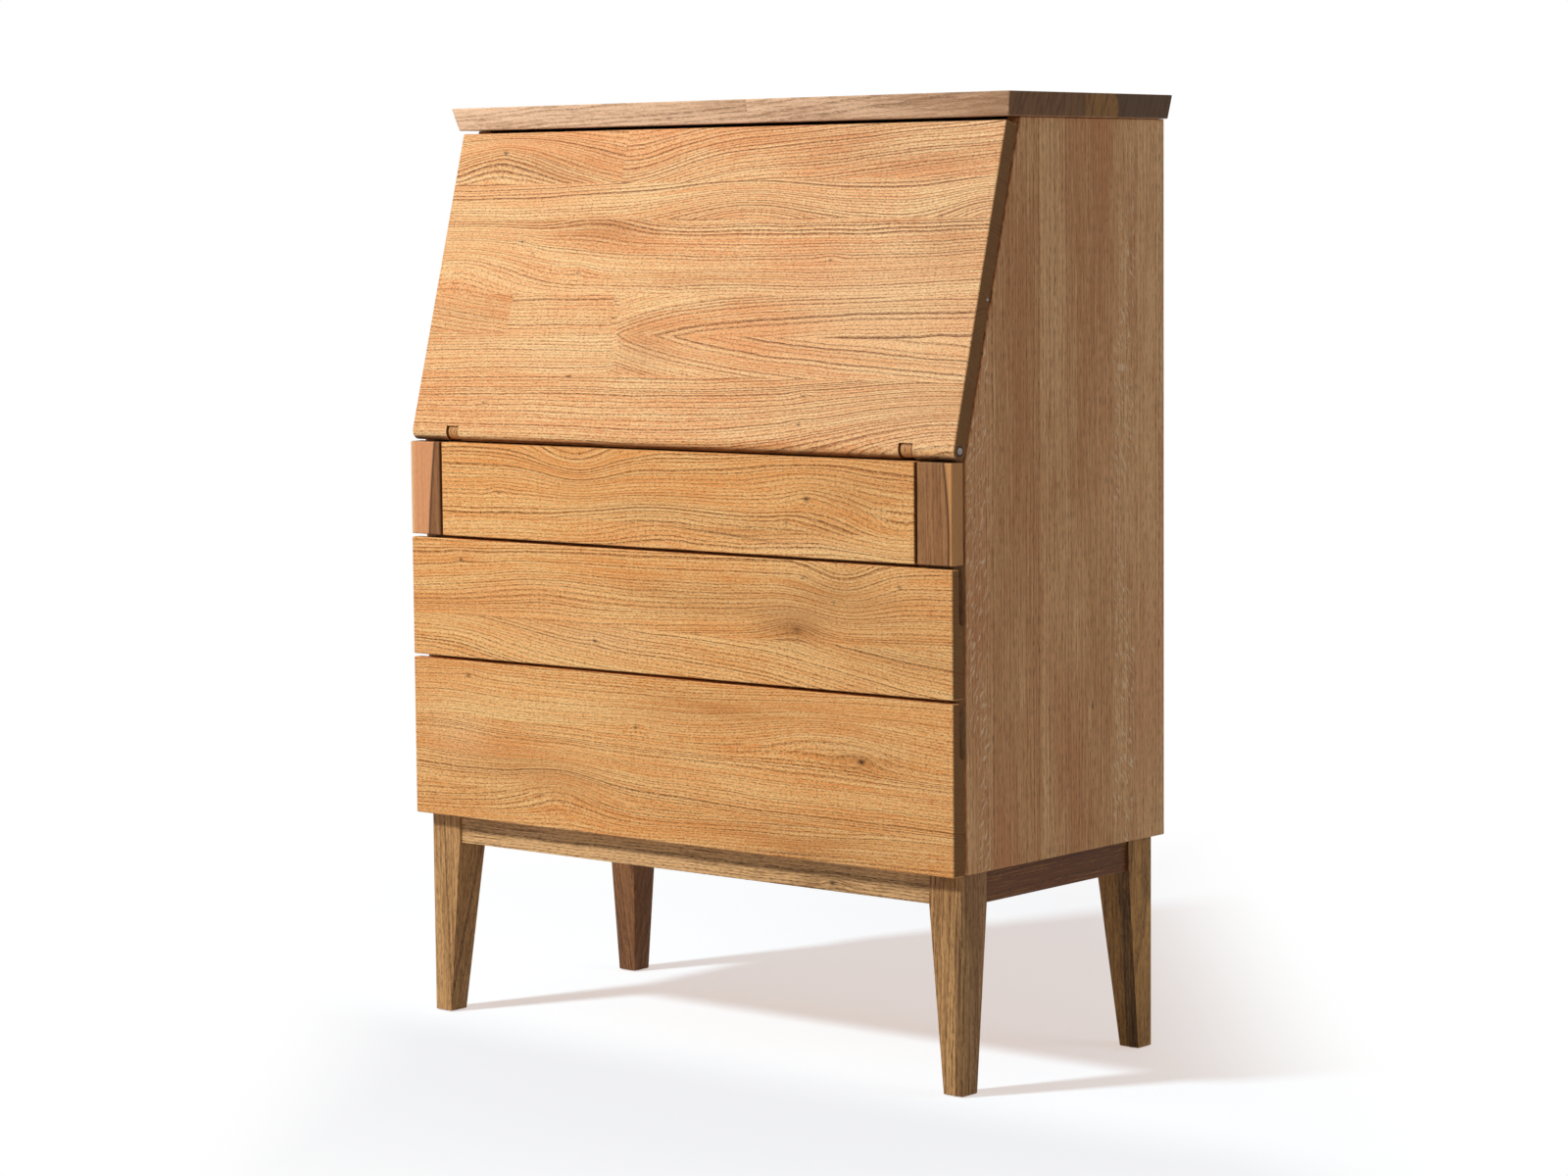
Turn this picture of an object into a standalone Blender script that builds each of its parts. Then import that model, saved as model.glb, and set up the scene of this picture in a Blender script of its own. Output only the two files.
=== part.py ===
"""Bureau desk: leaning fall flap on two lopers, three drawers, tapered legs."""
import math

import bmesh
import bpy

# Carcass
CARCASS_WIDTH = 0.875
DEPTH = 0.420
LEG_HEIGHT = 0.261
CARCASS_HEIGHT = 0.8715
SIDE_T = 0.020
BOTTOM_T = 0.018
RAIL_T = 0.018
RAIL_DEPTH = 0.060
RUNNER_LEDGE = 0.025
DIVIDER_T = 0.016
BACK_T = 0.008
BACK_INSET = 0.004

# Top slab
TOP_T = 0.0285
TOP_OVERHANG = 0.0125
TOP_BEVEL = 0.0068
TOP_LIP = 0.0025

# Overlay fronts
FRONT_T = 0.0215
FRONT_GAP = 0.0042
FRONT_SETOUT = 0.0042
BOTTOM_FRONT_H = 0.201
MIDDLE_FRONT_H = 0.150
TOP_FRONT_H = 0.118
LOPER_FRONT_W = 0.051
RECESS_LENGTH = 0.065
RECESS_REACH = 0.018
RECESS_DEPTH = 0.0095
RECESS_ROUND = 0.006

# Fall flap and its hinge
FLAP_T = 0.0225
FLAP_LEAN = math.radians(15.1)
FLAP_CLEARANCE = 0.0030
FLAP_FOOT_GAP = 0.0018
HINGE_SETBACK = 0.0150
PIN_D = 0.0094
PIN_LENGTH = 0.096
PIN_RECESS = 0.0005
KNUCKLE_W = 0.0195
KNUCKLE_INSET = 0.071
KNUCKLE_TANG = 0.049
KNUCKLE_CLEARANCE = 0.0012
PIN_CLEARANCE = 0.0003
BOARD_CLEARANCE = 0.0015

# Drawer boxes
BOX_SIDE_T = 0.012
BOX_BOTTOM_T = 0.006
BOX_BOTTOM_RAISE = 0.006
BOX_REAR_GAP = 0.0124
BOX_HEADROOM = 0.008
SLIDE_CLEARANCE = 0.0015

# Lopers
ARM_HEADROOM = 0.0056
PAD_LENGTH = 0.040
PAD_W = 0.020
PAD_SETBACK = 0.012
PAD_CLEARANCE = 0.0004

# Inside fitting
SHELF_T = 0.015
SHELF_RISE = 0.182
SHELF_DEPTH = 0.193
UPRIGHT_T = 0.014

# Legs and aprons
LEG_TOP_W = 0.048
LEG_FOOT_W = 0.028
LEG_SIDE_INSET = 0.0063
LEG_FRONT_INSET = 0.0225
LEG_BACK_INSET = 0.0185
LEG_ROUND_TOP = 0.0015
LEG_ROUND_FOOT = 0.0020
APRON_H = 0.0385
APRON_T = 0.020
APRON_SETBACK = 0.0035
PAD_FOOT_T = 0.001
PAD_FOOT_D = 0.020

# Fits and edges
FIT = 0.0003
EDGE = 0.0010
CURVE_STEPS = 12
SHARP = math.radians(35)

# Positions that follow from the sizes
FACE = -DEPTH / 2
REAR = DEPTH / 2
HALF = CARCASS_WIDTH / 2
INNER = HALF - SIDE_T
CARCASS_FRONT = FACE + FRONT_T + FRONT_SETOUT
CARCASS_TOP = LEG_HEIGHT + CARCASS_HEIGHT
PANEL_REAR = REAR - BACK_INSET - BACK_T - FIT
BOTTOM_FRONT_TOP = LEG_HEIGHT + BOTTOM_FRONT_H
MIDDLE_FRONT_Z = BOTTOM_FRONT_TOP + FRONT_GAP
MIDDLE_FRONT_TOP = MIDDLE_FRONT_Z + MIDDLE_FRONT_H
TOP_FRONT_Z = MIDDLE_FRONT_TOP + FRONT_GAP
TOP_FRONT_TOP = TOP_FRONT_Z + TOP_FRONT_H
LOWER_RAIL_Z = BOTTOM_FRONT_TOP + FRONT_GAP / 2 - RAIL_T / 2
UPPER_RAIL_Z = MIDDLE_FRONT_TOP + FRONT_GAP / 2 - RAIL_T / 2
FLAP_R = FLAP_T / 2
HINGE_Y = FACE + HINGE_SETBACK
HINGE_Z = TOP_FRONT_TOP + FLAP_FOOT_GAP + FLAP_R
BOARD_Z = HINGE_Z - FLAP_R
BOARD_TOP = HINGE_Z + FLAP_R
BOX_START = FACE + FRONT_T + FIT
BOX_END = PANEL_REAR - BOX_REAR_GAP
BOARD_FRONT = HINGE_Y + FLAP_R + BOARD_CLEARANCE
KNUCKLE_X = HALF - KNUCKLE_INSET
DIVIDER_OUT = HALF - LOPER_FRONT_W - SLIDE_CLEARANCE / 2
DIVIDER_IN = DIVIDER_OUT - DIVIDER_T
LEAN_SIN = math.sin(FLAP_LEAN)
LEAN_COS = math.cos(FLAP_LEAN)
LEAN_TAN = math.tan(FLAP_LEAN)
FLAP_LENGTH = (CARCASS_TOP - FRONT_GAP - HINGE_Z - FLAP_R * LEAN_SIN) / LEAN_COS

# Colours as linear values
OAK = ("oak", (0.62, 0.36, 0.155), 0.55, 0.0)
OAK_INNER = ("oak_inner", (0.60, 0.40, 0.21), 0.60, 0.0)
WALNUT = ("walnut", (0.26, 0.145, 0.07), 0.50, 0.0)
STEEL = ("steel", (0.62, 0.60, 0.57), 0.30, 1.0)
FELT = ("felt", (0.03, 0.026, 0.022), 0.95, 0.0)


def clear_scene():
    for old in list(bpy.data.objects):
        bpy.data.objects.remove(old, do_unlink=True)


def material(spec):
    name, colour, rough, metal = spec
    found = bpy.data.materials.get(name)
    if found:
        return found
    made = bpy.data.materials.new(name)
    made.use_nodes = True
    shader = made.node_tree.nodes["Principled BSDF"]
    shader.inputs["Base Color"].default_value = (*colour, 1.0)
    shader.inputs["Roughness"].default_value = rough
    shader.inputs["Metallic"].default_value = metal
    return made


def add_object(name, verts, faces, spec, parent=None):
    """Mesh object whose vertices are given from its parent's origin."""
    mesh = bpy.data.meshes.new(name)
    mesh.from_pydata(verts, [], faces)
    work = bmesh.new()
    work.from_mesh(mesh)
    bmesh.ops.recalc_face_normals(work, faces=work.faces)
    work.to_mesh(mesh)
    work.free()
    mesh.shade_smooth()
    mesh.set_sharp_from_angle(angle=SHARP)
    made = bpy.data.objects.new(name, mesh)
    bpy.context.collection.objects.link(made)
    made.parent = parent
    if spec:
        mesh.materials.append(material(spec))
    return made


def soften(target, width=EDGE):
    edge = target.modifiers.new("edge", "BEVEL")
    edge.width = width
    edge.segments = 1
    edge.limit_method = "ANGLE"
    edge.angle_limit = SHARP
    return target


def loft(rings):
    """Vertices and faces of a closed body through rings of equal count."""
    count = len(rings[0])
    verts = [point for ring in rings for point in ring]
    faces = [tuple(range(count))]
    for level in range(len(rings) - 1):
        low = level * count
        high = low + count
        for i in range(count):
            j = (i + 1) % count
            faces.append((low + i, low + j, high + j, high + i))
    last = (len(rings) - 1) * count
    faces.append(tuple(range(last, last + count)))
    return verts, faces


def box(name, xs, ys, zs, spec, parent=None):
    ring = [(xs[0], ys[0]), (xs[1], ys[0]), (xs[1], ys[1]), (xs[0], ys[1])]
    verts, faces = loft([[(x, y, z) for x, y in ring] for z in zs])
    return add_object(name, verts, faces, spec, parent)


def prism(name, profile, xs, spec, parent=None):
    """Profile of (y, z) points carried along x."""
    verts, faces = loft([[(x, y, z) for y, z in profile] for x in xs])
    return add_object(name, verts, faces, spec, parent)


def arc(cy, cz, radius, start, end, steps):
    """Points about (cy, cz), angles from +y towards +z."""
    angles = [start + (end - start) * i / steps for i in range(steps + 1)]
    return [(cy + radius * math.cos(a), cz + radius * math.sin(a)) for a in angles]


def rod(name, radius, xs, spec, parent=None):
    """Cylinder along x about the parent's origin."""
    turn = 2 * math.pi
    ring = arc(0.0, 0.0, radius, 0.0, turn, 2 * CURVE_STEPS)[:-1]
    return prism(name, ring, xs, spec, parent)


def cut(target, cutter):
    cutter.hide_render = True
    cutter.display_type = "WIRE"
    step = target.modifiers.new("cut", "BOOLEAN")
    step.operation = "DIFFERENCE"
    step.solver = "EXACT"
    step.object = cutter


def empty(name, place):
    made = bpy.data.objects.new(name, None)
    bpy.context.collection.objects.link(made)
    made.location = place
    return made


def mirrored(side, low, high):
    """Range of x given from the centre outwards, on the side -1 or +1."""
    return (low, high) if side > 0 else (-high, -low)


def lean_y(z, offset):
    """Depth at height z of the leaning plane that lies offset behind the hinge."""
    return HINGE_Y + (z - HINGE_Z) * LEAN_TAN + offset / LEAN_COS


SIDES = (("left", -1), ("right", 1))


def build_carcass():
    slant = FLAP_R + FLAP_CLEARANCE
    top = CARCASS_TOP - FIT
    knee = HINGE_Z + (CARCASS_FRONT - HINGE_Y - slant / LEAN_COS) / LEAN_TAN
    outline = [(CARCASS_FRONT, LEG_HEIGHT), (REAR, LEG_HEIGHT), (REAR, top)]
    outline += [(lean_y(top, slant), top), (CARCASS_FRONT, knee)]
    for word, side in SIDES:
        panel = prism("side_" + word, outline, mirrored(side, INNER, HALF), OAK)
        soften(panel)
    across = (-INNER + FIT, INNER - FIT)
    depth = (CARCASS_FRONT, PANEL_REAR)
    box("bottom_panel", across, depth, (LEG_HEIGHT, LEG_HEIGHT + BOTTOM_T), OAK_INNER)
    behind = (REAR - BACK_INSET - BACK_T, REAR - BACK_INSET)
    box("back_panel", across, behind, (LEG_HEIGHT, top), OAK_INNER)
    build_top()
    build_level("lower", LOWER_RAIL_Z, INNER - SLIDE_CLEARANCE - BOX_SIDE_T - RUNNER_LEDGE)
    build_level("upper", UPPER_RAIL_Z, DIVIDER_IN - SLIDE_CLEARANCE - BOX_SIDE_T - RUNNER_LEDGE)
    tall = (UPPER_RAIL_Z + RAIL_T + FIT, BOARD_Z - FIT)
    for word, side in SIDES:
        box("divider_" + word, mirrored(side, DIVIDER_IN, DIVIDER_OUT), depth, tall, OAK_INNER)


def build_top():
    """Slab undercut on the front and both ends, square at the back."""
    wide = HALF + TOP_OVERHANG
    narrow = wide - TOP_BEVEL
    arris = lean_y(CARCASS_TOP - FRONT_GAP, -FLAP_R)
    under = arris - TOP_LIP
    rings = []
    for x, y, z in ((narrow, under, CARCASS_TOP), (wide, under - TOP_BEVEL, CARCASS_TOP + TOP_T)):
        rings.append([(-x, y, z), (x, y, z), (x, REAR, z), (-x, REAR, z)])
    verts, faces = loft(rings)
    soften(add_object("top_slab", verts, faces, WALNUT))


def build_level(word, z, ledge):
    """Front rail, rear rail and two runners at one level."""
    across = (-INNER + FIT, INNER - FIT)
    tall = (z, z + RAIL_T)
    front = (CARCASS_FRONT, CARCASS_FRONT + RAIL_DEPTH)
    rear = (PANEL_REAR - RAIL_DEPTH, PANEL_REAR)
    between = (front[1] + FIT, rear[0] - FIT)
    box("rail_" + word + "_front", across, front, tall, OAK_INNER)
    box("rail_" + word + "_rear", across, rear, tall, OAK_INNER)
    for hand, side in SIDES:
        box("runner_" + word + "_" + hand, mirrored(side, ledge, INNER - FIT), between, tall, OAK_INNER)


def build_desk_board():
    """Fixed writing board, front edge parallel to the flap, slotted for the tangs."""
    clear = FLAP_R + BOARD_CLEARANCE
    edge = [(lean_y(BOARD_TOP, clear), BOARD_TOP), (lean_y(BOARD_Z, clear), BOARD_Z)]
    profile = edge + [(PANEL_REAR, BOARD_Z), (PANEL_REAR, BOARD_TOP)]
    board = prism("desk_board", profile, (-INNER + FIT, INNER - FIT), OAK_INNER)
    spare = FLAP_R
    for word, side in SIDES:
        half = KNUCKLE_W / 2 + FIT
        xs = mirrored(side, KNUCKLE_X - half, KNUCKLE_X + half)
        ys = (BOARD_FRONT - spare, BOARD_FRONT + KNUCKLE_TANG + FIT)
        slot = box("slot_cutter_" + word, xs, ys, (BOARD_Z - spare, BOARD_TOP + spare), None)
        cut(board, slot)
        build_knuckle(word, side)


def build_knuckle(word, side):
    """Round nose on the hinge axis, tang let into the desk board."""
    nose = FLAP_R - FIT
    end = BOARD_FRONT + KNUCKLE_TANG - HINGE_Y
    under = arc(0.0, 0.0, nose, -math.pi / 2, -math.pi - FLAP_LEAN, CURVE_STEPS)
    over = arc(0.0, 0.0, nose, math.pi - FLAP_LEAN, -FLAP_LEAN, CURVE_STEPS)
    shoulder = (nose * LEAN_SIN + FLAP_R + KNUCKLE_CLEARANCE) / LEAN_COS
    profile = under[:-1] + over + [(shoulder, nose), (end, nose), (end, -nose)]
    hinge = empty("knuckle_seat_" + word, (side * KNUCKLE_X, HINGE_Y, HINGE_Z))
    half = KNUCKLE_W / 2
    body = prism("knuckle_" + word, profile, (-half, half), OAK, hinge)
    bore = rod("bore_cutter_" + word, PIN_D / 2 + PIN_CLEARANCE, (-2 * half, 2 * half), None, hinge)
    cut(body, bore)


def build_flap():
    """Leaning panel with a round lower edge on the hinge axis."""
    hinge = empty("flap_hinge", (0.0, HINGE_Y, HINGE_Z))
    start = math.pi - FLAP_LEAN
    profile = arc(0.0, 0.0, FLAP_R, start, start + math.pi, CURVE_STEPS)
    for offset in (FLAP_R, -FLAP_R):
        y = FLAP_LENGTH * LEAN_SIN + offset * LEAN_COS
        z = FLAP_LENGTH * LEAN_COS - offset * LEAN_SIN
        profile.append((y, z))
    panel = prism("flap_panel", profile, (-HALF, HALF), OAK, hinge)
    soften(panel)
    for word, side in SIDES:
        half = KNUCKLE_W / 2 + KNUCKLE_CLEARANCE / 2
        xs = mirrored(side, KNUCKLE_X - half, KNUCKLE_X + half)
        cut(panel, rod("notch_cutter_" + word, FLAP_R + KNUCKLE_CLEARANCE, xs, None, hinge))
        tip = HALF - PIN_RECESS
        hole = mirrored(side, tip - PIN_LENGTH - FIT, HALF + FLAP_R)
        cut(panel, rod("hole_cutter_" + word, PIN_D / 2 + PIN_CLEARANCE, hole, None, hinge))
        rod("hinge_pin_" + word, PIN_D / 2, mirrored(side, tip - PIN_LENGTH, tip), STEEL, hinge)


def build_fitting():
    """One shelf on two uprights behind the flap."""
    across = (-INNER + FIT, INNER - FIT)
    depth = (PANEL_REAR - SHELF_DEPTH, PANEL_REAR)
    shelf = BOARD_TOP + SHELF_RISE
    box("inner_shelf", across, depth, (shelf, shelf + SHELF_T), OAK_INNER)
    centre = INNER / 3
    for word, side in SIDES:
        xs = mirrored(side, centre - UPRIGHT_T / 2, centre + UPRIGHT_T / 2)
        box("inner_upright_" + word, xs, depth, (BOARD_TOP + FIT, shelf - FIT), OAK_INNER)


def build_drawer(word, reach, low, high, box_reach, floor, ceiling, recessed):
    """Overlay front with a plain box behind it."""
    front = box(word + "_front", (-reach, reach), (FACE, FACE + FRONT_T), (low, high), OAK)
    soften(front)
    if recessed:
        for hand, side in SIDES:
            cut(front, recess_cutter(word + "_recess_" + hand, side, reach, high))
    bottom = floor + FIT
    top = ceiling - BOX_HEADROOM
    inside = box_reach - BOX_SIDE_T
    for hand, side in SIDES:
        xs = mirrored(side, inside, box_reach)
        box(word + "_side_" + hand, xs, (BOX_START, BOX_END), (bottom, top), OAK_INNER)
    across = (-inside + FIT, inside - FIT)
    box(word + "_back", across, (BOX_END - BOX_SIDE_T, BOX_END), (bottom, top), OAK_INNER)
    panel = bottom + BOX_BOTTOM_RAISE
    depth = (BOX_START, BOX_END - BOX_SIDE_T - FIT)
    box(word + "_bottom", across, depth, (panel, panel + BOX_BOTTOM_T), OAK_INNER)


def recess_cutter(name, side, reach, high):
    """Finger recess in the back of a front's end, open to its top edge."""
    front = FACE + FRONT_T - RECESS_DEPTH
    back = FACE + FRONT_T + RECESS_DEPTH
    low = high - RECESS_LENGTH
    centre = (front + RECESS_ROUND, low + RECESS_ROUND)
    bend = arc(*centre, RECESS_ROUND, math.pi, 1.5 * math.pi, CURVE_STEPS // 2)
    profile = [(front, high + RECESS_DEPTH)] + bend + [(back, low), (back, high + RECESS_DEPTH)]
    return prism(name, profile, mirrored(side, reach - RECESS_REACH, reach + RECESS_DEPTH), None)


def build_drawers():
    wide = INNER - SLIDE_CLEARANCE
    floor = LEG_HEIGHT + BOTTOM_T
    build_drawer("drawer_bottom", HALF, LEG_HEIGHT, BOTTOM_FRONT_TOP, wide, floor, LOWER_RAIL_Z, True)
    floor = LOWER_RAIL_Z + RAIL_T
    build_drawer("drawer_middle", HALF, MIDDLE_FRONT_Z, MIDDLE_FRONT_TOP, wide, floor, UPPER_RAIL_Z, True)
    floor = UPPER_RAIL_Z + RAIL_T
    reach = HALF - LOPER_FRONT_W - FRONT_GAP
    narrow = DIVIDER_IN - SLIDE_CLEARANCE
    build_drawer("drawer_top", reach, TOP_FRONT_Z, TOP_FRONT_TOP, narrow, floor, BOARD_Z, False)


def build_lopers():
    """Walnut front block on a long arm, with a rest pad for the open flap."""
    floor = UPPER_RAIL_Z + RAIL_T + FIT
    top = BOARD_Z - ARM_HEADROOM
    for word, side in SIDES:
        xs = mirrored(side, HALF - LOPER_FRONT_W, HALF)
        tall = (TOP_FRONT_Z, TOP_FRONT_TOP)
        block = box("loper_" + word + "_front", xs, (FACE, FACE + FRONT_T), tall, WALNUT)
        soften(block)
        xs = mirrored(side, DIVIDER_OUT + SLIDE_CLEARANCE, INNER - SLIDE_CLEARANCE)
        box("loper_" + word + "_arm", xs, (BOX_START, BOX_END), (floor, top), OAK_INNER)
        middle = (DIVIDER_OUT + INNER) / 2
        xs = mirrored(side, middle - PAD_W / 2, middle + PAD_W / 2)
        ys = (BOX_START + PAD_SETBACK, BOX_START + PAD_SETBACK + PAD_LENGTH)
        box("loper_" + word + "_pad", xs, ys, (top + FIT, BOARD_Z - PAD_CLEARANCE), FELT)


def leg_ring(width, rounding, z):
    """Square section whose outer corner lies at the origin, rounded there."""
    ring = [(y, x) for x, y in arc(rounding, rounding, rounding, math.pi, 1.5 * math.pi, CURVE_STEPS // 2)]
    ring = [(x, y, z) for x, y in ring]
    return ring + [(0.0, width, z), (width, width, z), (width, 0.0, z)]


def build_legs():
    """Outer faces upright, inner faces tapered below the aprons."""
    apron_z = LEG_HEIGHT - APRON_H
    rings = [(LEG_FOOT_W, LEG_ROUND_FOOT, PAD_FOOT_T + FIT)]
    rings += [(LEG_TOP_W, LEG_ROUND_TOP, apron_z), (LEG_TOP_W, LEG_ROUND_TOP, LEG_HEIGHT - FIT)]
    out = HALF - LEG_SIDE_INSET
    near = FACE + LEG_FRONT_INSET
    far = REAR - LEG_BACK_INSET
    feet = []
    for row, y, inward in (("front", near, 1), ("rear", far, -1)):
        for word, side in SIDES:
            section = [leg_ring(*ring) for ring in rings]
            placed = [[(side * (out - a), y + inward * b, z) for a, b, z in ring] for ring in section]
            verts, faces = loft(placed)
            add_object("leg_" + row + "_" + word, verts, faces, WALNUT)
            middle = LEG_FOOT_W / 2
            feet.append((row + "_" + word, side * (out - middle), y + inward * middle))
    build_aprons(apron_z, out, near, far)
    build_foot_pads(feet)


def build_aprons(apron_z, out, near, far):
    tall = (apron_z, LEG_HEIGHT - FIT)
    span = out - LEG_TOP_W - FIT
    front = near + APRON_SETBACK
    box("apron_front", (-span, span), (front, front + APRON_T), tall, WALNUT)
    rear = far - APRON_SETBACK
    box("apron_rear", (-span, span), (rear - APRON_T, rear), tall, WALNUT)
    between = (near + LEG_TOP_W + FIT, far - LEG_TOP_W - FIT)
    face = out - APRON_SETBACK
    for word, side in SIDES:
        box("apron_" + word, mirrored(side, face - APRON_T, face), between, tall, WALNUT)


def build_foot_pads(feet):
    for word, cx, cy in feet:
        ring = arc(cx, cy, PAD_FOOT_D / 2, 0.0, 2 * math.pi, 2 * CURVE_STEPS)[:-1]
        verts, faces = loft([[(x, y, z) for x, y in ring] for z in (0.0, PAD_FOOT_T)])
        add_object("foot_pad_" + word, verts, faces, FELT)


clear_scene()
build_carcass()
build_desk_board()
build_flap()
build_fitting()
build_drawers()
build_lopers()
build_legs()
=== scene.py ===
"""Bureau desk in oiled oak on a walnut stand: fall flap on two lopers, three drawers, walnut top."""
import math
from types import SimpleNamespace

import bpy
import numpy as np
from mathutils import Matrix, Vector


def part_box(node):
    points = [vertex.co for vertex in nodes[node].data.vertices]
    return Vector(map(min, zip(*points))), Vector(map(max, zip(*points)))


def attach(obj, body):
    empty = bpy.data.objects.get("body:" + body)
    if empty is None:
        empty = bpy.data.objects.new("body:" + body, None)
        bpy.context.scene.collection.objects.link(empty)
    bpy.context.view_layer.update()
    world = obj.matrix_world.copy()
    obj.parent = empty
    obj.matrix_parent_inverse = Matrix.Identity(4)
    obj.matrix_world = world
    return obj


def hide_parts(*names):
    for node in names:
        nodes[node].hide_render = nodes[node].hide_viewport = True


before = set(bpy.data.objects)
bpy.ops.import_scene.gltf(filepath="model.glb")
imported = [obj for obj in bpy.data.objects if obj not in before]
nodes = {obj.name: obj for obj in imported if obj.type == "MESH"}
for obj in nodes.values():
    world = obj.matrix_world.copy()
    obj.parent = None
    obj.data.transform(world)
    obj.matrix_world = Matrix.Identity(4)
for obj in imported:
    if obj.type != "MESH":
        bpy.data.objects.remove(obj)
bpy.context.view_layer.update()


# Legs. Four walnut legs, square under the carcass and tapered below the aprons on their inner faces only.
# Each is sawn from its own length of stock with the grain upright, and its arrises are lightly eased. The rear
# left leg's darker stock and the rear right leg's dark front face are painted shade from the carcass above them.
def srgb(red, green, blue):
    """Linear colour of a screen colour: below 0.04045 a straight line, above it a power of 2.4."""
    screen = np.array([red, green, blue]) / 255.0
    linear = np.where(screen <= 0.04045, screen / 12.92, ((screen + 0.055) / 1.055) ** 2.4)
    return (*(float(value) for value in linear), 1.0)


class Wire:
    """A socket in a finish's node tree. Arithmetic on wires lays Math nodes, and node() lays any other node."""

    def __init__(self, tree, socket=None):
        self.tree, self.socket = tree, socket

    def node(self, kind, settings, sockets, output=0):
        made = self.tree.nodes.new(kind)
        for key, value in settings.items():
            setattr(made, key, value)
        for key, value in sockets.items():
            if isinstance(value, Wire):
                self.tree.links.new(value.socket, made.inputs[key])
            else:
                made.inputs[key].default_value = value
        return Wire(self.tree, made.outputs[output] if made.outputs else None)

    def math(self, operation, *terms):
        return self.node("ShaderNodeMath", {"operation": operation}, dict(enumerate(terms)))

    def __add__(self, other):
        return self.math("ADD", self, other)

    def __sub__(self, other):
        return self.math("SUBTRACT", self, other)

    def __rsub__(self, other):
        return self.math("SUBTRACT", other, self)

    def __mul__(self, other):
        return self.math("MULTIPLY", self, other)

    def __gt__(self, other):
        return self.math("GREATER_THAN", self, other)

    def __neg__(self):
        return self.math("MULTIPLY", self, -1.0)

    __radd__, __rmul__ = __add__, __mul__


def smooth(wire, low, high):
    """0 below low, 1 above high and an S-curve between."""
    return wire.node("ShaderNodeMapRange", {"interpolation_type": "SMOOTHSTEP"}, {0: wire, 1: low, 2: high})


def squared(wire):
    """A value times itself."""
    return wire * wire


def triple(x, y, z):
    """Three values as one vector."""
    return x.node("ShaderNodeCombineXYZ", {}, {0: x, 1: y, 2: z})


def split(vector):
    """The three values of a vector, which may be plain numbers."""
    if not isinstance(vector, Wire):
        return tuple(vector)
    return tuple(vector.node("ShaderNodeSeparateXYZ", {}, {0: vector}, output) for output in range(3))


def own_place(start):
    """The piece's own coordinates, in metres."""
    return start.node("ShaderNodeTexCoord", {}, {}, "Object")


def cloud(at, detail, roughness=0.5):
    """Fractal noise between 0 and 1."""
    return at.node("ShaderNodeTexNoise", {}, {"Vector": at, "Scale": 1.0, "Detail": detail, "Roughness": roughness})


def laid_over(amount, under, over):
    """Colour: so much of the second colour laid over the first."""
    return amount.node("ShaderNodeMix", {"data_type": "RGBA"}, {0: amount, 6: under, 7: over}, 2)


def mound(along, across, centre, reach):
    """1 at the centre, falling off as a bell with the two reaches."""
    away = squared((along - centre[0]) * (1 / reach[0])) + squared((across - centre[1]) * (1 / reach[1]))
    return away.math("EXPONENT", -away)


def finished(start, colour, rough, height, depth, **constants):
    """Closes a finish: colour, roughness and a bump of the given depth, with constants on the shader itself."""
    relief = start.node("ShaderNodeBump", {}, {"Strength": 1.0, "Distance": depth, "Height": height})
    settings = {key.replace("_", " "): value for key, value in constants.items()}
    shader = start.node("ShaderNodeBsdfPrincipled", {}, {
        "Base Color": colour, "Roughness": rough, "Normal": relief, **settings})
    start.node("ShaderNodeOutputMaterial", {}, {"Surface": shader})


def new_finish(name):
    """An empty node tree, with the wire that its nodes start from."""
    finish = bpy.data.materials.new(name)
    finish.use_nodes = True
    finish.node_tree.nodes.clear()
    return finish, Wire(finish.node_tree)


FOLD = 0.06
KNOT_BEND, KNOT_LONG, KNOT_WIDE = 1.1, 7, 3
WOOD_RELIEF = 0.00022


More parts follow.
